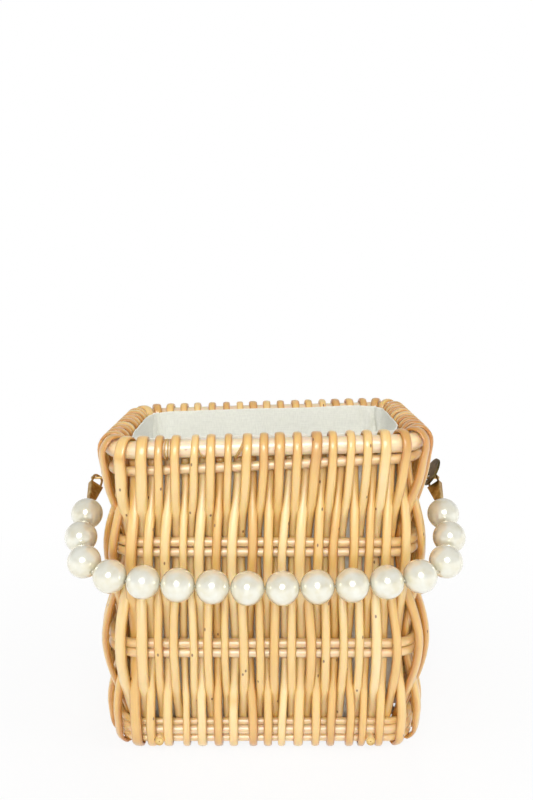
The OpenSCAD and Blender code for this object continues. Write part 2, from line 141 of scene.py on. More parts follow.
RUN_X = HALF_W - CORNER_R
RUN_Y = HALF_D - CORNER_R
ARC = CORNER_R * math.pi / 2
ROUND = 4 * (RUN_X + RUN_Y + ARC)
STAKES = 4 * round(ROUND / (4 * STAKE_PITCH))
PITCH = ROUND / STAKES
CORNER_K = math.floor((RUN_X + ARC / 2) / PITCH)
THICK = STAKE_D / 2 * (1 + STAKE_VARY) * FLAT
BAND_OFF = BAND_D / 2 + WEAVE_GAP + THICK + BAND_SLACK
NECK_OFF = NECK_D / 2 + WEAVE_GAP + THICK + NECK_SLACK
NECK_BACK = NECK_D / 2 + WEAVE_GAP + THICK
SILL_OFF = SILL_D / 2 + WEAVE_GAP + THICK + SILL_SLACK
FOOT_OUT = SILL_OFF + FOOT_OUT_SLACK
FOOT_IN = SILL_OFF + FOOT_IN_SLACK
# Node, thickness, height, slope from left to right, how far it stands out of the wall's line, and paleness; the
# top rail's is partly its own paler wood and partly a painted highlight from the light above.
HOOPS = (
    ("top_rail", RAIL_D, RAIL_Z, RIM_RISE, 0.0, 1.0),
    ("neck_rod", NECK_D, NECK_Z, NECK_RISE, 0.0, 0.6),
    ("upper_band_top", BAND_D, middle("upper_band_top").z, 0.0, 0.0, 0.4),
    ("upper_band_low", BAND_D, middle("upper_band_low").z, 0.0, 0.0, 0.55),
    ("lower_band_top", BAND_D, middle("lower_band_top").z, 0.0, BELLY, 0.45),
    ("lower_band_low", BAND_D, middle("lower_band_low").z, 0.0, BELLY, 0.65),
    ("foot_rod", FOOT_D, FOOT_Z, 0.0, 0.0, 0.4),
    ("bottom_rim", SILL_D, SILL_Z, 0.0, 0.0, 0.7),
    ("base_rod", BASE_D, BASE_Z, 0.0, 0.0, 0.6),
)
# End cap: widths, thickness and distances of its ends from the pin.
CAP_TOP_W = 9.0
CAP_LOW_W = 4.2
CAP_T = 3.6
CAP_DROP = 6.5
CAP_LOW = 20.7
CAP_BEVEL = 0.45
CAP_WALL = 0.3
CAP_MOUTH = 2.0
# Where the bail hangs on the pin, and how far from there the cord leaves it.
PIN_X = 103.0
CORD_START = 15.7
PEARLS = ["pearl_%02d" % i for i in range(1, 17)]
PEARL_D = extent("pearl_08").z
# Where a pearl's blind hole ends, as a share of its radius from the middle.
HOLE_SHARE = 0.55

# Sides and rings of the swept rods, and of a pearl.
STAKE_SIDES = 12
ROD_SIDES = 16
ROD_RINGS = 168
RUNNER_SIDES = 20
RUNNER_RINGS = 12
STRAW_SIDES = 8
STRAW_RINGS = 28
PEARL_SIDES = 56
PEARL_RINGS = 36

# Spans of a stake up to the first take 4 steps, and longer ones a step for about each of the second.
SHORT_SPAN = 8.0
SPAN_STEP = 5.0
# Lengths over which a stake wobbles, drifts and swells, and a rod swells.
WOBBLE_RUN = 13.0
DRIFT_RUN = 34.0
SWELL_RUN = 19.0
ROD_RUN = 40.0

# Stake widths over those of the bars: between the rods, over a loop, their spread, and what a corner adds.
WALL_WIDE = 1.13
LOOP_WIDE = 0.88
WIDE_SPREAD = 0.36
CORNER_WIDE = 0.22
# How far from a corner's middle the rods' painted bend shade and the stakes' corner widening reach.
BEND_REACH = 17.0
# Squareness of a stake's section, and the strength of the painted shade at its sides and painted light along its
# middle.
STAKE_SQUARE = 2.3
STAKE_SIDE_SHADE = 0.7
KNOT_LENGTH = 1.3
NO_KNOT = -99.0

# Straw: its radius and distance from the rail's middle, and the bundle's strands, spacing, bow and slant.
STRAW_R = 0.42
STRAW_OUT = RAIL_D / 2 + 0.4
LASH_STRANDS = 5
LASH_SPACING = 0.9
LASH_BOW = 0.7
LASH_SLANT = 1.2
# Upper and lower ends of the loose straws, to the right of the bundle.
LOOSE_STRAWS = ((13.0, 19.5), (42.5, 35.0), (43.6, 36.3))

# Lining: cloth thickness, corner radius, distance in from the solid's faces, uneven hem, and corner folds.
CLOTH_T = 0.6
LINING_R = 7.0
LINING_IN = 0.5
HEM_DROP = 0.7
FOLD_DEPTH = 5.0
FOLD_REACH = 13.0


class BasketSizes(bpy.types.PropertyGroup):
    """Sizes of the basket's look that a maker would change."""

    grain_width: bpy.props.FloatProperty(
        name="Grain width",
        description="Width of one grain line on a willow rod",
        default=0.0006,
        unit="LENGTH",
    )
    knot_share: bpy.props.FloatProperty(
        name="Knot share", description="Share of the stakes that carry a knot", default=0.45, min=0, max=1
    )
    cloth_thread: bpy.props.FloatProperty(
        name="Thread spacing", description="Spacing of the lining's threads", default=0.0009, unit="LENGTH"
    )
    cloth_wave: bpy.props.FloatProperty(
        name="Lining waves",
        description="Height of the soft waves in the lining",
        default=0.0008,
        unit="LENGTH",
    )


class BasketColours(bpy.types.PropertyGroup):
    """Colours of the basket's materials."""

    # Palest stakes, and the painted light along the stakes' middles.
    willow_light_and_highlight: bpy.props.FloatVectorProperty(
        name="Pale willow", description="Palest stakes", subtype="COLOR", default=linear("F4DAA0")
    )
    willow_mid: bpy.props.FloatVectorProperty(
        name="Golden willow", description="Most of the stakes", subtype="COLOR", default=linear("E6BC6C")
    )
    # Darkest stakes, bends and knots, and the painted shade at the stakes' sides.
    willow_dark_and_shade: bpy.props.FloatVectorProperty(
        name="Brown willow", description="Bends and darkest stakes", subtype="COLOR", default=linear("BC761E")
    )
    rod_light: bpy.props.FloatVectorProperty(
        name="Pale rods", description="Palest part of the rods", subtype="COLOR", default=linear("FAE7C4")
    )
    rod_mid: bpy.props.FloatVectorProperty(
        name="Golden rods", description="Most of the rods", subtype="COLOR", default=linear("EDCB92")
    )
    straw: bpy.props.FloatVectorProperty(
        name="Straw", description="Lashing straw", subtype="COLOR", default=linear("D6AE62")
    )
    cotton: bpy.props.FloatVectorProperty(
        name="Cotton", description="Lining cloth", subtype="COLOR", default=linear("F6F6EC")
    )
    pearl: bpy.props.FloatVectorProperty(
        name="Pearl", description="Pearl lacquer", subtype="COLOR", default=linear("F1F1E6")
    )
    brass: bpy.props.FloatVectorProperty(
        name="Antique brass", description="Caps, bails and pins", subtype="COLOR", default=linear("E6C88C")
    )
    bronze: bpy.props.FloatVectorProperty(
        name="Dark bronze", description="Tag disc", subtype="COLOR", default=linear("7A6A40")
    )


def sizes():
    """The scene's sizes."""
    return bpy.context.scene.basket_sizes


def colours():
    """The scene's colours."""
    return bpy.context.scene.basket_colours


# The wall and the weave, as in the solids.


def draw(k, s):
    """Repeatable number from 0 to 1 for stake k."""
    v = math.sin(math.radians(k * 127.1 + s * 311.7)) * 437.585
    return v - math.floor(v)


def rail_at(x):
    """Height of the sloping rail at x."""
    return RAIL_Z + x * RIM_RISE / (2 * HALF_W)


def neck_at(x):
    """Height of the sloping neck rod at x."""
    return NECK_Z + x * NECK_RISE / (2 * HALF_W)


def ring_at(u, half_w, half_d, corner_r):
    """Point, outward and forward direction at distance u from mid front round a round-cornered rectangle."""
    run_x, run_y, arc = half_w - corner_r, half_d - corner_r, corner_r * math.pi / 2
    sides = (
        (run_x, (0, -half_d), 0, (run_x, -run_y)),
        (2 * run_y, (half_w, -run_y), 90, (run_x, run_y)),
        (2 * run_x, (run_x, half_d), 180, (-run_x, run_y)),
        (2 * run_y, (-half_w, run_y), 270, (-run_x, -run_y)),
        (run_x, (-run_x, -half_d), 0, None),
    )
    for run, start, turn, corner in sides:
        a = math.radians(turn)
        if u < run or corner is None:
            forward = Vector((math.cos(a), math.sin(a), 0))
            return Vector((*start, 0)) + forward * u, Vector((forward.y, -forward.x, 0)), forward
        u -= run
        if u < arc:
            a += u / corner_r
            out = Vector((math.sin(a), -math.cos(a), 0))
            return Vector((*corner, 0)) + out * corner_r, out, Vector((math.cos(a), math.sin(a), 0))
        u -= arc


def wall_at(u):
    """Point, outward and forward direction of the wall's middle at distance u round it."""
    return ring_at(u % ROUND, HALF_W, HALF_D, CORNER_R)


def bend_share(u):
    """1 in the middle of a corner, 0 along the sides."""
    q = u % (ROUND / 2)
    near = min(abs(q - RUN_X - ARC / 2), abs(q - ROUND / 2 + RUN_X + ARC / 2))
    return math.exp(-((near / BEND_REACH) ** 2))


def pin_dist(u):
    """Distance along the wall from the nearer pin, with its sign."""
    a, q = u % ROUND, ROUND / 4
    return a - q if a < 2 * q else a - 3 * q


def rest_u(k):
    """Place of stake k round the wall, parted beside the pins."""
    u = (k + 0.5) * PITCH
    d = pin_dist(u)
    return u + math.copysign(PIN_PARTING * math.exp(-abs(d) / PIN_REACH), d)


def lean_part(z):
    """0 up to the upper band, rising to 1 at the rail."""
    return min(1, max(0, (z - UPPER_Z) / (RAIL_Z - UPPER_Z)))


def lean(z):
    """How far a stake leans sideways at height z, none at the pins."""
    return STAKE_LEAN * (lean_part(z) - lean_part(PIN_Z))


def sway(k):
    """Wander of stake k from -1 to 1, calm beside the pins and the runners."""
    u = (k + 0.5) * PITCH
    d = pin_dist(u)
    e = abs(wall_at(u)[0].x) - RUNNER_X
    return (2 * draw(k, 1) - 1) * (1 - 0.8 * math.exp(-d * d / 200)) * (1 - 0.85 * math.exp(-e * e / 80))


def radius(k):
    """Half width of stake k's bar."""
    return STAKE_D / 2 * (1 + STAKE_VARY * (2 * draw(k, 2) - 1))


def foot_u(k):
    """Place of a base stake's loop, clear of the runners."""
    plain, r = rest_u(k) + lean(0), radius(k)
    p = wall_at(plain)[0]
    d = p.x - math.copysign(RUNNER_X, p.x)
    if abs(d) < 1.5 * PITCH:
        step = math.copysign(RUNNER_D / 2 + r + RUNNER_SLACK, d) - d
        return plain + (step if p.y < 0 else -step)
    return plain - WALL_WANDER * sway(k)


def rim_rows(k):
    """Rows of a stake that loops over the rail, from inside.

    A row is a place round the wall, a distance out of its middle, a height, a half width and a half thickness.
    """
    u, w, r = rest_u(k), sway(k), radius(k)
    x = wall_at(u)[0].x
    zr, zn, a, b = rail_at(x), neck_at(x), LOOP_W / 2, LOOP_T / 2
    far = RAIL_D / 2 + WEAVE_GAP + b
    side, ur = far * math.tan(math.pi / 8), u + lean(RAIL_Z) + RIM_WANDER * w
    return (
        # From its tip behind the rail, over it and down its front.
        (ur - 0.5, -far - 0.1, zr + TIP_UP, a * 0.84, b),
        (ur - 0.4, -far - 0.1, zr + side, a * 0.88, b),
        (ur - 0.1, -side, zr + far, a, b),
        (ur, side, zr + far, a, b),
        (ur, far + LOOP_SLACK, zr + side, a, b),
        # In front of the neck rod, behind the upper band, in front of the lower band and behind the foot.
        (u + lean(NECK_Z) + RIM_WANDER * w * 0.8, NECK_OFF, zn - NECK_DOWN, r * 1.05, r * 0.95),
        (u + lean(UPPER_Z) - WALL_WANDER * w, -BAND_OFF, UPPER_Z, r, r),
        (u + lean(LOWER_Z) + WALL_WANDER * w, BELLY + BAND_OFF, LOWER_Z, r, r),
        (u + lean(0) - WALL_WANDER * w * 0.6, -FOOT_IN, RUNNER_TOP + FOOT_UP, r, r),
    )


def base_rows(k):
    """Rows of a stake that loops under the lowest rod, from the top."""
    u, w, r = rest_u(k), sway(k), radius(k)
    x = wall_at(u)[0].x
    zr, zn, a, b = rail_at(x), neck_at(x), LOOP_W / 2, LOOP_T / 2
    far, uf = BASE_D / 2 + WEAVE_GAP + b, foot_u(k)
    side = far * math.tan(math.pi / 8)
    return (
        # From its end behind the neck rod, in front of the upper band and behind the lower band.
        (u + lean(NECK_Z) + WALL_WANDER * w, -NECK_BACK, zr - TAIL_DOWN, r, r),
        (u + lean(NECK_Z) + WALL_WANDER * w, -NECK_BACK, zn - TAIL_BEND, r, r),
        (u + lean(UPPER_Z) - WALL_WANDER * w, BAND_OFF, UPPER_Z, r, r),
        (u + lean(LOWER_Z) + WALL_WANDER * w, BELLY - BAND_OFF, LOWER_Z, r, r),
        # In front of the foot, round the lowest rod and in under the floor.
        (uf, FOOT_OUT, FOOT_Z + FOOT_UP, r, r),
        (uf, far + LOOP_SLACK, BASE_Z - side, a * 0.92, b),
        (uf, side, b, a * 0.92, b),
        (uf, -TOE_IN, b, a * 0.7, b),
    )


def smooth_rows(rows):
    """Rows of a smooth path through the given rows, closer together where it bends."""
    n = len(rows)
    t = [0.0]
    for p, q in zip(rows, rows[1:]):
        t.append(t[-1] + max(1e-6, math.hypot(q[1] - p[1], q[2] - p[2])))
    slopes = []
    for i in range(n):
        lo, hi = max(i - 1, 0), min(i + 1, n - 1)
        if lo == i or hi == i:
            slopes.append([(b - a) / (t[hi] - t[lo]) for a, b in zip(rows[lo], rows[hi])])
            continue
        before, after = t[i] - t[lo], t[hi] - t[i]
        slopes.append(
            [
                ((b - a) / before * after + (c - b) / after * before) / (before + after)
                for a, b, c in zip(rows[lo], rows[i], rows[hi])
            ]
        )
    out = []
    for i in range(n - 1):
        h = t[i + 1] - t[i]
        steps = 4 if h < SHORT_SPAN else max(6, round(h / SPAN_STEP))
        for j in range(steps + (i == n - 2)):
            s = j / steps
            c0, c1 = 2 * s**3 - 3 * s * s + 1, s**3 - 2 * s * s + s
            c2, c3 = 3 * s * s - 2 * s**3, s**3 - s * s
            out.append(
                [
                    c0 * rows[i][m] + c1 * h * slopes[i][m] + c2 * rows[i + 1][m] + c3 * h * slopes[i + 1][m]
                    for m in range(5)
                ]
            )
    return out


# Meshes.


def tube(rings, sides, shade, closed=False, square=2.0, side_shade=0.0):
    """Bends a grid into a rod, with painted shade at its sides and painted light along its middle, as strong as
    the last argument.

    A ring is a centre, two half axes, a length along the rod and a tone.
    """
    bm = bmesh.new()
    grain = bm.loops.layers.uv.new("Grain")
    tone = bm.verts.layers.float.new("tone")
    count = len(rings)
    made = bmesh.ops.create_grid(bm, x_segments=sides, y_segments=count - 1, size=1, calc_uvs=True)
    girth = 2 * math.pi * rings[0][1].length
    for v in made["verts"]:
        i = round((v.co.x + 1) / 2 * sides)
        j = round((v.co.y + 1) / 2 * (count - 1))
        c, wide, thick, _, extra = rings[j]
        a = 2 * math.pi * (i % sides) / sides
        ca, sa = math.cos(a), math.sin(a)
        f = (abs(ca) ** square + abs(sa) ** square) ** (-1 / square)
        v.co = (c + wide * ca * f + thick * sa * f) * MM
        # Painted shade at the sides and painted light along the middle, carried by the tone.
        v[tone] = min(1, max(0, shade + extra + side_shade * (0.25 - ca**4)))
    for face in bm.faces:
        for loop in face.loops:
            u, w = loop[grain].uv
            j = w * (count - 1)
            lo = min(int(j + 1e-4), count - 2)
            along = rings[lo][3] + (rings[lo + 1][3] - rings[lo][3]) * (j - lo)
            loop[grain].uv = (u * girth / UV_MM + shade * 7.3, along / UV_MM + shade * 31.7)
    bmesh.ops.remove_doubles(bm, verts=bm.verts[:], dist=1e-6)
    if not closed:
        rim = [e for e in bm.edges if e.is_boundary]
        bmesh.ops.holes_fill(bm, edges=rim, sides=0)
    bmesh.ops.recalc_face_normals(bm, faces=bm.faces[:])
    return bm


def joined(parts):
    """One bmesh from several, each freed."""
    whole = bmesh.new()
    for part in parts:
        mesh = bpy.data.meshes.new("part")
        part.to_mesh(mesh)
        part.free()
        whole.from_mesh(mesh)
        bpy.data.meshes.remove(mesh)
    return whole


def piece(name, bm, material, body, nodes=(), smooth=True):
    """A finished object on a body, in place of the named nodes."""
    mesh = bpy.data.meshes.new(name)
    for face in bm.faces:
        face.smooth = smooth
    bm.to_mesh(mesh)
    bm.free()
    mesh.materials.append(material)
    obj = bpy.data.objects.new(name, mesh)
    bpy.context.scene.collection.objects.link(obj)
    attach(obj, body)
    if nodes:
        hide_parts(*nodes)
    return obj


def seat(v):
    """Moves a point from the basket's own middle to its place in the frame."""
    return Vector((v.x, v.y + SEAT_Y, v.z))


def stake_mesh(rows, k, knots):
    """One willow stake: round along the wall, flat over the rods, with a little wobble and perhaps a knot."""
    path = smooth_rows(rows)
    along, rings = 0.0, []
    knot = draw(k, 5) * 150 + 12 if draw(k, 4) < knots else NO_KNOT
    calm = 0.8 * abs(sway(k))
    for i, (u, off, z, a, b) in enumerate(path):
        lo, hi = path[max(i - 1, 0)], path[min(i + 1, len(path) - 1)]
        if i:
            along += math.hypot(off - path[i - 1][1], z - path[i - 1][2])
        step = math.hypot(hi[1] - lo[1], hi[2] - lo[2])
        d = Vector((hi[1] - lo[1], hi[2] - lo[2])).normalized()
        drift = 0.25 * noise.noise((k * 3.1, along / WOBBLE_RUN, 0.5))
        drift += calm * noise.noise((k * 5.3, along / DRIFT_RUN, 1.5))
        p, out, forward = wall_at(u + drift)
        c = p + out * off + Vector((0, 0, max(z, b)))
        slant = (hi[0] - lo[0]) / max(1e-3, step)
        across = (forward - Vector((0, 0, slant * d.y))).normalized()
        normal = (out * -d.y + Vector((0, 0, d.x))).normalized()
        bump = math.exp(-(((along - knot) / KNOT_LENGTH) ** 2))
        swell = 1 + 0.05 * noise.noise((k * 7.7, along / SWELL_RUN, 2.5)) + 0.1 * bump
        looped = min(1, max(0, (a - b) / 1.1))
        wide = WALL_WIDE + (LOOP_WIDE - WALL_WIDE) * looped + WIDE_SPREAD * draw(k, 6)
        wide *= 1 + CORNER_WIDE * bend_share(u)
        thick = 0.97 if looped < 0.1 else 1
        tone = -0.4 * bump - 0.25 * looped
        rings.append((seat(c), across * a * swell * wide, normal * b * thick, along, tone))
    # The stake's sides get painted shade and its middle painted light.
    return tube(rings, STAKE_SIDES, 0.2 + 0.64 * draw(k, 3), square=STAKE_SQUARE, side_shade=STAKE_SIDE_SHADE)


def hoop_mesh(d, z, rise, grow, pale, seed):
    """One bent rod, a little uneven, with painted shade where it is bent round the corners."""
    rings = []
    for i in range(ROD_RINGS + 1):
        u = ROUND * (i % ROD_RINGS) / ROD_RINGS
        p, out, _ = wall_at(u)
        ring = Vector((p.x / ROD_RUN, p.y / ROD_RUN, seed * 9.3))
        swell = 1 + 0.03 * noise.noise(ring)
        lift = 0.3 * noise.noise(ring * 0.6 + Vector((5, 0, 0)))
        c = p + out * grow + Vector((0, 0, z + p.x * rise / (2 * HALF_W) + lift))
        r = d / 2 * swell
        # Painted shade at the corners, where the rod turns away from the light.
        tone = -0.3 * bend_share(u)
        rings.append((seat(c), out * r, Vector((0, 0, r)), ROUND * i / ROD_RINGS, tone))
    return tube(rings, ROD_SIDES, pale, closed=True)


# Materials.


def add(tree, kind, links=None, **settings):
    """A node with its settings, and links from (node, output) pairs to its named or numbered inputs."""
    node = tree.nodes.new(kind)
    for key, value in settings.items():
        setattr(node, key, value)
    for key, value in (links or {}).items():
        if isinstance(value, tuple) and isinstance(value[0], bpy.types.Node):
            tree.links.new(value[0].outputs[value[1]], node.inputs[key])
        else:
            node.inputs[key].default_value = value
    return node


def new_material(name):
    """An empty material and its node tree."""
    mat = bpy.data.materials.new(name)
    mat.use_nodes = True
    mat.node_tree.nodes.clear()
    return mat, mat.node_tree


def rgba(colour):
    """A colour with full alpha."""
    return (*colour, 1.0)


def willow(name, light, mid, dark, speck):
    """Peeled willow, dried: silky grain along the rod, dark specks of buds and a low sheen."""
    mat, t = new_material(name)
    across, along = UV_MM / (sizes().grain_width / MM), UV_MM / GRAIN_RUN_MM
    uv = add(t, "ShaderNodeUVMap", uv_map="Grain")
    tone = add(t, "ShaderNodeAttribute", attribute_name="tone")
    fine = add(t, "ShaderNodeMapping", {"Vector": (uv, "UV"), "Scale": (across, along, 1)})
    grain = add(t, "ShaderNodeTexNoise", {"Vector": (fine, 0), "Scale": 1.0, "Detail": 3.0, "Roughness": 0.6})
    patch = UV_MM / PATCH_W_MM, UV_MM / PATCH_RUN_MM, 1
    slow = add(t, "ShaderNodeMapping", {"Vector": (uv, "UV"), "Scale": patch})
    patches = add(t, "ShaderNodeTexNoise", {"Vector": (slow, 0), "Scale": 1.0, "Detail": 2.0})
    a = add(t, "ShaderNodeMath", {0: (patches, 0), 1: 0.5, 2: (tone, "Fac")}, operation="MULTIPLY_ADD")
    b = add(t, "ShaderNodeMath", {0: (grain, 0), 1: 0.3, 2: (a, 0)}, operation="MULTIPLY_ADD")
    level = add(t, "ShaderNodeMapRange", {"Value": (b, 0), 1: 0.2, 2: 1.6})
    ramp = add(t, "ShaderNodeValToRGB", {"Fac": (level, 0)})
    stops = ramp.color_ramp
    stops.elements[0].position, stops.elements[0].color = 0.05, rgba(dark)
    stops.elements[1].position, stops.elements[1].color = 0.9, rgba(light)
    stops.elements.new(0.48).color = rgba(mid)
    bud = UV_MM / BUD_MM
    bud_map = add(t, "ShaderNodeMapping", {"Vector": (uv, "UV"), "Scale": (bud, bud / 2, 1)})
    buds = add(t, "ShaderNodeTexVoronoi", {"Vector": (bud_map, 0), "Scale": 1.0}, voronoi_dimensions="2D")
    spot = add(t, "ShaderNodeMapRange", {"Value": (buds, "Distance"), 1: 0.035, 2: 0.075, 3: 1.0, 4: 0.0})
    pick = add(t, "ShaderNodeMapRange", {"Value": (buds, "Color"), 1: 0.68, 2: 0.69, 3: 0.0, 4: speck})
    mark = add(t, "ShaderNodeMath", {0: (spot, 0), 1: (pick, 0)}, operation="MULTIPLY")
    bark = rgba(linear("7A4820"))
    colour = add(t, "ShaderNodeMix", {0: (mark, 0), 6: (ramp, 0), 7: bark}, data_type="RGBA")
    bump = add(t, "ShaderNodeBump", {"Height": (grain, 0), "Strength": 0.18, "Distance": 0.0003})
    shader = add(
        t,
        "ShaderNodeBsdfPrincipled",
        {
            "Base Color": (colour, 2),
            "Roughness": 0.34,
            "IOR": 1.5,
            "Specular IOR Level": 1.0,
            "Subsurface Weight": 0.25,
            "Subsurface Radius": (1.0, 0.4, 0.06),
            "Subsurface Scale": 0.001,
            "Coat Weight": 1.0,
            "Coat Roughness": 0.3,
            "Normal": (bump, 0),
        },
    )
    add(t, "ShaderNodeOutputMaterial", {"Surface": (shader, 0)})
    return mat


def cut_willow(name):
    """Cut end of a willow rod: pale raw wood round a brown pith."""
    mat, t = new_material(name)
    uv = add(t, "ShaderNodeUVMap", uv_map="Grain")
    far = add(t, "ShaderNodeVectorMath", {0: (uv, "UV")}, operation="LENGTH")
    ramp = add(t, "ShaderNodeValToRGB", {"Fac": (far, "Value")})
    stops = ramp.color_ramp
    stops.elements[0].position, stops.elements[0].color = 0.1, rgba(linear("A9742F"))
    stops.elements[1].position, stops.elements[1].color = 1.0, rgba(linear("C99A4E"))
    stops.elements.new(0.22).color = rgba(linear("E9CE8E"))
    stops.elements.new(0.8).color = rgba(linear("E3C078"))
    shader = add(t, "ShaderNodeBsdfPrincipled", {"Base Color": (ramp, 0), "Roughness": 0.75})
    add(t, "ShaderNodeOutputMaterial", {"Surface": (shader, 0)})
    return mat


def cotton(name):
    """Plain woven cotton, half bleached: matt, with slubby threads drawn coarser than real, to show."""
    mat, t = new_material(name)
    uv = add(t, "ShaderNodeUVMap", uv_map="Weave")
    thread = UV_MM / (sizes().cloth_thread / MM)
    slub = thread / 9
    weft_map = add(t, "ShaderNodeMapping", {"Vector": (uv, "UV"), "Scale": (slub, thread, 1)})
    warp_map = add(t, "ShaderNodeMapping", {"Vector": (uv, "UV"), "Scale": (thread, slub, 1)})
    weft = add(t, "ShaderNodeTexNoise", {"Vector": (weft_map, 0), "Scale": 1.0, "Detail": 2.0})
    warp = add(t, "ShaderNodeTexNoise", {"Vector": (warp_map, 0), "Scale": 1.0, "Detail": 2.0})
    weave = add(t, "ShaderNodeMath", {0: (weft, 0), 1: (warp, 0)}, operation="ADD")
    level = add(t, "ShaderNodeMapRange", {"Value": (weave, 0), 1: 0.75, 2: 1.25})
    shade = rgba([c * 0.9 for c in colours().cotton])
    tint = add(t, "ShaderNodeMix", {0: (level, 0), 6: shade, 7: rgba(colours().cotton)}, data_type="RGBA")
    bump = add(t, "ShaderNodeBump", {"Height": (weave, 0), "Strength": 0.35, "Distance": 0.0004})
    shader = add(
        t,
        "ShaderNodeBsdfPrincipled",
        {
            "Base Color": (tint, 2),
            "Roughness": 0.9,
            "Subsurface Weight": 0.15,
            "Subsurface Radius": (1.0, 1.0, 0.9),
            "Subsurface Scale": 0.001,
            "Sheen Weight": 0.1,
            "Normal": (bump, 0),
        },
    )
    add(t, "ShaderNodeOutputMaterial", {"Surface": (shader, 0)})
    return mat


def pearl_lacquer(name):
    """Pearl lacquer over a plastic bead: flakes give a soft metallic glow under a clear, hard, glossy coat."""
    mat, t = new_material(name)
    coord = add(t, "ShaderNodeTexCoord")
    scale = 1 / (PEARL_CLOUD_MM * MM)
    cloud = add(t, "ShaderNodeTexNoise", {"Vector": (coord, "Object"), "Scale": scale, "Detail": 2.0})
    drift = add(t, "ShaderNodeMapRange", {"Value": (cloud, 0), 1: 0.3, 2: 0.7})
    warm = rgba(linear("E7E1CA"))
    tint = add(t, "ShaderNodeMix", {0: (drift, 0), 6: warm, 7: rgba(colours().pearl)}, data_type="RGBA")
    shader = add(
        t,
        "ShaderNodeBsdfPrincipled",
        {
            "Base Color": (tint, 2),
            "Metallic": 0.46,
            "Roughness": 0.2,
            "IOR": 1.53,
            "Coat Weight": 1.0,
            "Coat Roughness": 0.07,
        },
    )
    add(t, "ShaderNodeOutputMaterial", {"Surface": (shader, 0)})
    return mat


def antique(name, colour, dark, rough):
    """Cast brass alloy, antiqued: dark patina in cloudy patches over the brighter metal."""
    mat, t = new_material(name)
    coord = add(t, "ShaderNodeTexCoord")
    scale = 1 / (PATINA_MM * MM)
    cloud = add(t, "ShaderNodeTexNoise", {"Vector": (coord, "Object"), "Scale": scale, "Detail": 4.0})
    part = add(t, "ShaderNodeMapRange", {"Value": (cloud, 0), 1: 0.35, 2: 0.7})
    tint = add(t, "ShaderNodeMix", {0: (part, 0), 6: rgba(dark), 7: rgba(colour)}, data_type="RGBA")
    shader = add(t, "ShaderNodeBsdfPrincipled", {"Base Color": (tint, 2), "Metallic": 1.0, "Roughness": rough})
    add(t, "ShaderNodeOutputMaterial", {"Surface": (shader, 0)})
    return mat


def thread_cotton(name):
    """Twisted cotton thread: matt and pale."""
    mat, t = new_material(name)
    shader = add(t, "ShaderNodeBsdfPrincipled", {"Base Color": rgba(linear("E6E0CF")), "Roughness": 0.8})
    add(t, "ShaderNodeOutputMaterial", {"Surface": (shader, 0)})
    return mat


def stock(name, make):
    """A material made once."""
    return bpy.data.materials.get(name) or make(name)


def stake_willow():
    """Willow of the stakes, with bud specks."""
    c = colours()
    shades = c.willow_light_and_highlight, c.willow_mid, c.willow_dark_and_shade
    return stock("peeled willow stakes", lambda n: willow(n, *shades, 1.0))


def rod_willow():
    """Willow of the rods, paler and with fainter specks."""
    c = colours()
    # Its darkest stop, golden willow, also takes the painted shade at the rods' bends.
    shades = c.rod_light, c.rod_mid, c.willow_mid
    return stock("peeled willow rods", lambda n: willow(n, *shades, 0.4))


# Operators.


class BASKET_OT_rods(bpy.types.Operator):
    """Bent willow rods: rail, neck, bands and foot"""

    bl_idname = "basket.rods"
    bl_label = "Bent rods"

    def execute(self, context):
        for seed, (node, d, z, rise, grow, pale) in enumerate(HOOPS):
            bm = hoop_mesh(d, z, rise, grow, pale, seed + 1)
            piece(node + "_willow", bm, rod_willow(), "basket", [node])
        return {"FINISHED"}


class BASKET_OT_stakes(bpy.types.Operator):
    """Willow stakes woven through the rods, looped over the rail or under the base"""

    bl_idname = "basket.stakes"
    bl_label = "Woven stakes"

    def execute(self, context):
        half = STAKES // 2
        sides = (
            ("front", -CORNER_K - 1, CORNER_K),
            ("right", CORNER_K + 1, half - CORNER_K - 2),
            ("back", half - CORNER_K - 1, half + CORNER_K),
            ("left", half + CORNER_K + 1, STAKES - CORNER_K - 2),
        )
        knots = sizes().knot_share
        for side, first, last in sides:
            for odd, kind, rows in ((1, "rim", rim_rows), (0, "base", base_rows)):
                parts = [stake_mesh(rows(k), k, knots) for k in range(first, last + 1) if k % 2 == odd]
                node = f"{side}_{kind}_stakes"
                piece(node + "_willow", joined(parts), stake_willow(), "basket", [node])
        return {"FINISHED"}


class BASKET_OT_base(bpy.types.Operator):
    """Runners and slats under the lining"""

    bl_idname = "basket.base"
    bl_label = "Base"

    def execute(self, context):
        for seed, node in enumerate(("runner_left", "runner_right")):
            low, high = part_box(node)
            c, r = middle(node), RUNNER_D / 2
            rings = []
            for i in range(RUNNER_RINGS + 1):
                y = low.y / MM + (high.y - low.y) / MM * i / RUNNER_RINGS
                rings.append((Vector((c.x, y, c.z)), Vector((r, 0, 0)), Vector((0, 0, r)), y, -0.25))
            bm = tube(rings, RUNNER_SIDES, 0.4 + 0.1 * seed)
            grain = bm.loops.layers.uv["Grain"]
            for face in bm.faces:
                if abs(face.normal.y) > 0.9:
                    face.material_index = 1
                    for loop in face.loops:
                        p = loop.vert.co / MM - c
                        loop[grain].uv = (p.x / r, p.z / r)
            obj = piece(node + "_willow", bm, rod_willow(), "basket", [node])
            obj.data.materials.append(stock("cut willow end", cut_willow))
        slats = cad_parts["base_slats"]
        slats.data.materials.clear()
        slats.data.materials.append(rod_willow())
        return {"FINISHED"}


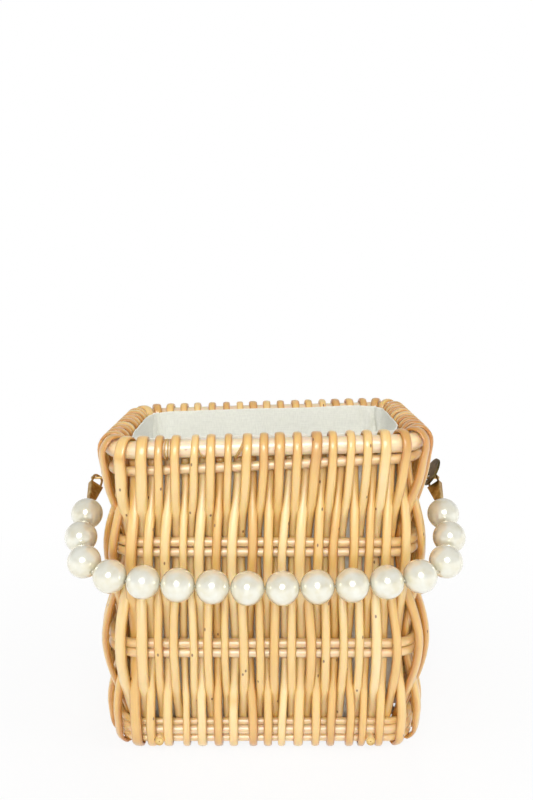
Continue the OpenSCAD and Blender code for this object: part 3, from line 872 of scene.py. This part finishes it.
def straw_on_rail(x0, x1, from_deg, to_deg, seed, bow=0.0, count=STRAW_RINGS):
    """One straw laid on the rail from x0 to x1, between two angles round it and bowed in front."""
    sweep = math.radians(to_deg - from_deg)
    rings = []
    for i in range(count + 1):
        s = i / count
        a = math.radians(from_deg) + sweep * s
        out = Vector((0, -math.cos(a), math.sin(a)))
        x = x0 + (x1 - x0) * s + bow * math.cos(a) + 0.2 * noise.noise((seed * 3.7, s * 4, 0.5))
        p = Vector((x, SEAT_Y - HALF_D, rail_at(x))) + out * STRAW_OUT
        along = Vector((x1 - x0, 0, 0)) + Vector((0, math.sin(a), math.cos(a))) * sweep * STRAW_OUT
        rings.append((p, along.cross(out).normalized() * STRAW_R, out * STRAW_R, s * 30, 0.0))
    return tube(rings, STRAW_SIDES, 0.3 + 0.6 * draw(seed, 8))


class BASKET_OT_lashing(bpy.types.Operator):
    """Straw wound round the rail, with loose straws beside it"""

    bl_idname = "basket.lashing"
    bl_label = "Rail lashing"

    def execute(self, context):
        place = middle("rail_lashing").x
        parts = []
        for strand in range(LASH_STRANDS):
            step = strand - LASH_STRANDS // 2
            slant = (draw(strand, 9) - 0.5) * LASH_SLANT
            x = place + step * LASH_SPACING
            parts.append(straw_on_rail(x - slant, x + slant, -150, 210, strand, step * LASH_BOW, 48))
        for strand, (top, foot) in enumerate(LOOSE_STRAWS):
            parts.append(straw_on_rail(place + top, place + foot, 95, -75, strand + 11))
        c = colours()
        mat = willow("split straw", c.straw, c.straw, c.willow_dark_and_shade, 0.0)
        piece("rail_lashing_straw", joined(parts), mat, "basket", ["rail_lashing"])
        return {"FINISHED"}


def ripple(p, wide, tall):
    """Soft waves of the given width and height, from -1 to 1."""
    return noise.noise((p.x / wide, p.y / wide, p.z / tall))


def lining_mesh(half_w, half_d, floor, top):
    """The lining as one bent grid: floor, walls that sag a little, folds in the corners and an uneven hem."""
    around, across, up = 240, 12, 46
    wave = sizes().cloth_wave / MM
    length = 4 * (half_w + half_d - 2 * LINING_R + LINING_R * math.pi / 2)
    bm = bmesh.new()
    weave = bm.loops.layers.uv.new("Weave")
    made = bmesh.ops.create_grid(bm, x_segments=around, y_segments=across + up, size=1, calc_uvs=True)
    for v in made["verts"]:
        i = round((v.co.x + 1) / 2 * around) % around
        j = round((v.co.y + 1) / 2 * (across + up))
        p, out, _ = ring_at(length * i / around, half_w, half_d, LINING_R)
        if j <= across:
            p *= j / across
            p.z = floor
        else:
            rise = 1 - (1 - (j - across) / up) ** 1.6
            nook = math.hypot(abs(p.x) - half_w, abs(p.y) - half_d)
            p.z = floor + (top + p.x * RIM_RISE / (2 * HALF_W) - floor) * rise
            sag = ripple(p, 26, 55) + 0.5 * ripple(p, 9, 30)
            fold = (1 + 1.4 * ripple(p, 6, 24)) * rise**4 * math.exp(-((nook / FOLD_REACH) ** 2))
            p -= out * (LINING_IN + wave * (sag * (0.35 + 0.65 * rise) + FOLD_DEPTH * max(0, fold)))
            p.z -= HEM_DROP * rise * (1 + noise.noise((p.x / 31, p.y / 31, 4.5)))
        v.co = seat(p) * MM
    tall = (top - floor) * (across + up) / up
    for face in bm.faces:
        for loop in face.loops:
            u, w = loop[weave].uv
            loop[weave].uv = (u * length / UV_MM, w * tall / UV_MM)
    bmesh.ops.remove_doubles(bm, verts=bm.verts[:], dist=1e-6)
    bmesh.ops.recalc_face_normals(bm, faces=bm.faces[:])
    return bm


class BASKET_OT_lining(bpy.types.Operator):
    """Cotton lining, sewn to the basket's inside"""

    bl_idname = "basket.lining"
    bl_label = "Lining"

    def execute(self, context):
        low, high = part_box("lining")
        half_w = (high.x - low.x) / 2 / MM - LINING_IN
        half_d = (high.y - low.y) / 2 / MM - LINING_IN
        floor, top = low.z / MM + LINING_IN, high.z / MM - RIM_RISE / 2
        bm = lining_mesh(half_w, half_d, floor, top)
        obj = piece("lining_cotton", bm, stock("plain woven cotton", cotton), "basket", ["lining"])
        thick = obj.modifiers.new("cloth", "SOLIDIFY")
        thick.thickness = CLOTH_T * MM
        thick.offset = 0
        return {"FINISHED"}


def bead_way(i, centres):
    """Direction of the strand at bead i."""
    return (centres[i + 1] - centres[i - 1]).normalized()


def pin_point(side):
    """Where a bail hangs, on the left for -1 and on the right for 1."""
    return Vector((side * PIN_X, SEAT_Y, PIN_Z))


def strand_centres():
    """Pearl centres from left to right, with the cord's start in each cap before and after them."""
    pearls = [middle(node) for node in PEARLS]
    ends = []
    for side, pearl in ((-1, pearls[0]), (1, pearls[-1])):
        pin = pin_point(side)
        ends.append(pin + (pearl - pin).normalized() * CORD_START)
    return [ends[0], *pearls, ends[1]]


class BASKET_OT_pearls(bpy.types.Operator):
    """Pearl beads strung on a cord"""

    bl_idname = "basket.pearls"
    bl_label = "Pearl strand"

    def execute(self, context):
        centres = strand_centres()
        parts = []
        radius_m = PEARL_D / 2 * MM
        for i in range(1, len(PEARLS) + 1):
            bm = bmesh.new()
            bmesh.ops.create_uvsphere(bm, u_segments=PEARL_SIDES, v_segments=PEARL_RINGS, radius=radius_m)
            poles = [v for v in bm.verts if abs(v.co.z) > radius_m * 0.99999]
            bmesh.ops.delete(bm, geom=poles, context="VERTS")
            rims = [e for e in bm.edges if e.is_boundary]
            made = bmesh.ops.extrude_edge_only(bm, edges=rims)
            inner = [g for g in made["geom"] if isinstance(g, bmesh.types.BMVert)]
            for v in inner:
                v.co.z *= HOLE_SHARE
            rims = [e for e in bm.edges if e.is_boundary]
            bmesh.ops.holes_fill(bm, edges=rims, sides=0)
            bmesh.ops.recalc_face_normals(bm, faces=bm.faces[:])
            turn = bead_way(i, centres).to_track_quat("Z", "Y").to_matrix().to_4x4()
            bmesh.ops.transform(bm, matrix=Matrix.Translation(centres[i] * MM) @ turn, verts=bm.verts[:])
            parts.append(bm)
        mat = stock("pearl lacquer on plastic beads", pearl_lacquer)
        piece("pearl_beads", joined(parts), mat, "handle", PEARLS)
        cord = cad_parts["strand_cord"]
        cord.data.materials.clear()
        cord.data.materials.append(stock("twisted cotton thread", thread_cotton))
        return {"FINISHED"}


def cap_mesh(side):
    """Brass end cap: a wedge pressed from sheet, soft at its edges and open towards the pearls."""
    pin = pin_point(1)
    down = (middle(PEARLS[-1]) - pin).normalized()
    across = Vector((-down.y, down.x, 0)).normalized()
    wide = (across + down.cross(across)).normalized()
    thick = wide.cross(down)
    bm = bmesh.new()
    bmesh.ops.create_cube(bm, size=1)
    for v in bm.verts:
        width, drop = (CAP_TOP_W, CAP_DROP) if v.co.z > 0 else (CAP_LOW_W, CAP_LOW)
        v.co = (pin + down * drop + wide * width * v.co.x + thick * CAP_T * v.co.y) * MM
    bmesh.ops.bevel(
        bm,
        geom=bm.edges[:],
        offset=CAP_BEVEL * MM,
        offset_type="OFFSET",
        segments=2,
        profile=0.5,
        affect="EDGES",
        material=-1,
    )
    bmesh.ops.recalc_face_normals(bm, faces=bm.faces[:])
    # The mouth is the large face that looks down the strand.
    mouth = max(bm.faces, key=lambda f: f.normal.dot(down) + f.calc_area() * 1e3)
    bmesh.ops.inset_region(bm, faces=[mouth], thickness=CAP_WALL * MM)
    deep = bmesh.ops.extrude_discrete_faces(bm, faces=[mouth])["faces"]
    bmesh.ops.translate(bm, vec=-down * CAP_MOUTH * MM, verts=deep[0].verts[:])
    if side < 0:
        bmesh.ops.scale(bm, vec=(-1, 1, 1), verts=bm.verts[:])
        bmesh.ops.reverse_faces(bm, faces=bm.faces[:])
    return bm


class BASKET_OT_fittings(bpy.types.Operator):
    """Pins, bails, end caps and the plain tag disc"""

    bl_idname = "basket.fittings"
    bl_label = "Brass fittings"

    def execute(self, context):
        c = colours()
        brass = antique("antiqued cast brass", c.brass, linear("B0844A"), 0.32)
        bronze = antique("dark bronze patina", c.bronze, linear("4A3F22"), 0.42)
        for node in ("pin_left", "pin_right", "bail_left", "bail_right", "tag_disc"):
            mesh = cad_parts[node].data
            mesh.materials.clear()
            mesh.materials.append(bronze if node == "tag_disc" else brass)
        for node, side in (("cap_left", -1), ("cap_right", 1)):
            piece(node + "_brass", cap_mesh(side), brass, "handle", [node], smooth=False)
        return {"FINISHED"}


# Strength of the white room as light, and of its ceiling in gloss.
AMBIENT = 0.25
CEILING = 0.52
# Name, place in m, size in m and power in W. Only the first one shows in gloss.
LAMPS = (
    ("front softbox", (-0.08, -1.5, 1.0), 0.8, 15.0),
    ("top softbox", (-0.1, -0.7, 1.6), 0.9, 4.6),
    ("low fill", (0.0, -1.1, 0.12), 0.5, 1.6),
    ("left fill", (-1.5, -0.3, 0.8), 0.9, 6.0),
    ("right fill", (1.5, -0.3, 0.9), 0.9, 9.0),
    ("back fill", (0.2, 1.5, 0.8), 0.9, 7.0),
)
LAMP_AIM = Vector((0, 0, 0.1))
# The floor's shadow shows up to the first distance, in m, and is gone at the second. The third is how white it is.
SHADOW_NEAR = 0.1
SHADOW_FAR = 0.4
SHADOW_WHITE = 0.86
FLOOR_SIZE = 6
# Camera: focal length over frame height, sensor height, place from the basket's middle, and tilt in degrees.
FOCAL_SHARE = 725 / 800
SENSOR_MM = 36
CAMERA_MM = (0.8, -432.8, 266.0)
CAMERA_TILT = 9.5


def studio_white(t):
    """White all round to the camera, dimmer as light, and in gloss white below with a dimmer ceiling."""
    path = add(t, "ShaderNodeLightPath")
    coord = add(t, "ShaderNodeTexCoord")
    way = add(t, "ShaderNodeSeparateXYZ", {0: (coord, "Generated")})
    room = add(t, "ShaderNodeMapRange", {"Value": (way, "Z"), 1: 0.0, 2: 0.3, 3: 1.0, 4: CEILING})
    light = add(t, "ShaderNodeMix", {0: (path, "Is Glossy Ray"), 2: AMBIENT, 3: (room, 0)})
    ends = {0: (path, "Is Camera Ray"), 1: (path, "Is Transmission Ray")}
    clear = add(t, "ShaderNodeMath", ends, operation="MAXIMUM")
    return add(t, "ShaderNodeMix", {0: (clear, 0), 2: (light, 0), 3: 1.0})


def white_paper():
    """White paper sweep: pure white away from the object, with a faint shadow close to it."""
    mat, t = new_material("white paper")
    coord = add(t, "ShaderNodeTexCoord")
    far = add(t, "ShaderNodeVectorMath", {0: (coord, "Object")}, operation="LENGTH")
    fade = {"Value": (far, "Value"), 1: SHADOW_NEAR, 2: SHADOW_FAR, 3: SHADOW_WHITE, 4: 1.0}
    share = add(t, "ShaderNodeMapRange", fade)
    path = add(t, "ShaderNodeLightPath")
    ends = {0: (path, "Is Camera Ray"), 1: (path, "Is Glossy Ray")}
    a = add(t, "ShaderNodeMath", ends, operation="MAXIMUM")
    b = add(t, "ShaderNodeMath", {0: (a, 0), 1: (path, "Is Transmission Ray")}, operation="MAXIMUM")
    seen = add(t, "ShaderNodeMath", {0: (b, 0), 1: (share, 0)}, operation="MULTIPLY")
    paper = add(t, "ShaderNodeBsdfDiffuse", {"Color": rgba(linear("F4F4F4"))})
    glow = add(t, "ShaderNodeEmission", {"Color": (1, 1, 1, 1), "Strength": 1.0})
    both = add(t, "ShaderNodeMixShader", {0: (seen, 0), 1: (paper, 0), 2: (glow, 0)})
    add(t, "ShaderNodeOutputMaterial", {"Surface": (both, 0)})
    return mat


class BASKET_OT_stage(bpy.types.Operator):
    """White floor, soft studio light and the camera"""

    bl_idname = "basket.stage"
    bl_label = "Stage"

    def execute(self, context):
        scene = context.scene
        scene.view_settings.view_transform = "Standard"
        world = scene.world or bpy.data.worlds.new("studio")
        scene.world = world
        world.use_nodes = True
        t = world.node_tree
        t.nodes.clear()
        strength = studio_white(t)
        ground = add(t, "ShaderNodeBackground", {"Color": (1, 1, 1, 1), "Strength": (strength, 0)})
        add(t, "ShaderNodeOutputWorld", {"Surface": (ground, 0)})

        bm = bmesh.new()
        bmesh.ops.create_grid(bm, x_segments=1, y_segments=1, size=FLOOR_SIZE)
        mesh = bpy.data.meshes.new("floor")
        bm.to_mesh(mesh)
        bm.free()
        floor = bpy.data.objects.new("floor", mesh)
        scene.collection.objects.link(floor)
        mesh.materials.append(white_paper())

        for name, place, size, power in LAMPS:
            lamp = bpy.data.lights.new(name, "AREA")
            lamp.shape = "DISK"
            lamp.size = size
            lamp.energy = power
            obj = bpy.data.objects.new(name, lamp)
            obj.location = place
            aim = LAMP_AIM - Vector(place)
            obj.rotation_euler = aim.to_track_quat("-Z", "Y").to_euler()
            obj.visible_glossy = name == LAMPS[0][0]
            scene.collection.objects.link(obj)

        cam = bpy.data.cameras.new("camera")
        cam.sensor_fit = "VERTICAL"
        cam.sensor_height = SENSOR_MM
        cam.lens = SENSOR_MM * FOCAL_SHARE
        cam.clip_start = 0.01
        obj = bpy.data.objects.new("camera", cam)
        obj.location = seat(Vector(CAMERA_MM)) * MM
        obj.rotation_euler = (math.radians(90 - CAMERA_TILT), 0, 0)
        scene.collection.objects.link(obj)
        scene.camera = obj
        return {"FINISHED"}


OPERATORS = (
    BASKET_OT_rods,
    BASKET_OT_stakes,
    BASKET_OT_base,
    BASKET_OT_lashing,
    BASKET_OT_lining,
    BASKET_OT_pearls,
    BASKET_OT_fittings,
    BASKET_OT_stage,
)


class BASKET_PT_panel(bpy.types.Panel):
    """Lists the basket's sizes, colours and pieces"""

    bl_idname = "BASKET_PT_panel"
    bl_label = "Willow basket"
    bl_space_type = "VIEW_3D"
    bl_region_type = "UI"
    bl_category = "Basket"

    def draw(self, context):
        for group in (context.scene.basket_sizes, context.scene.basket_colours):
            for key in group.__annotations__:
                self.layout.prop(group, key)
        for kind in OPERATORS:
            self.layout.operator(kind.bl_idname)


CLASSES = (BasketSizes, BasketColours, *OPERATORS, BASKET_PT_panel)


def register():
    """Registers the classes and the scene's settings."""
    for kind in CLASSES:
        bpy.utils.register_class(kind)
    bpy.types.Scene.basket_sizes = bpy.props.PointerProperty(type=BasketSizes)
    bpy.types.Scene.basket_colours = bpy.props.PointerProperty(type=BasketColours)


def unregister():
    """Takes back what register did."""
    del bpy.types.Scene.basket_colours
    del bpy.types.Scene.basket_sizes
    for kind in reversed(CLASSES):
        bpy.utils.unregister_class(kind)


def main():
    """Builds every piece and the stage."""
    register()
    bpy.ops.basket.rods()
    bpy.ops.basket.stakes()
    bpy.ops.basket.base()
    bpy.ops.basket.lashing()
    bpy.ops.basket.lining()
    bpy.ops.basket.pearls()
    bpy.ops.basket.fittings()
    bpy.ops.basket.stage()


if __name__ == "__main__":
    main()
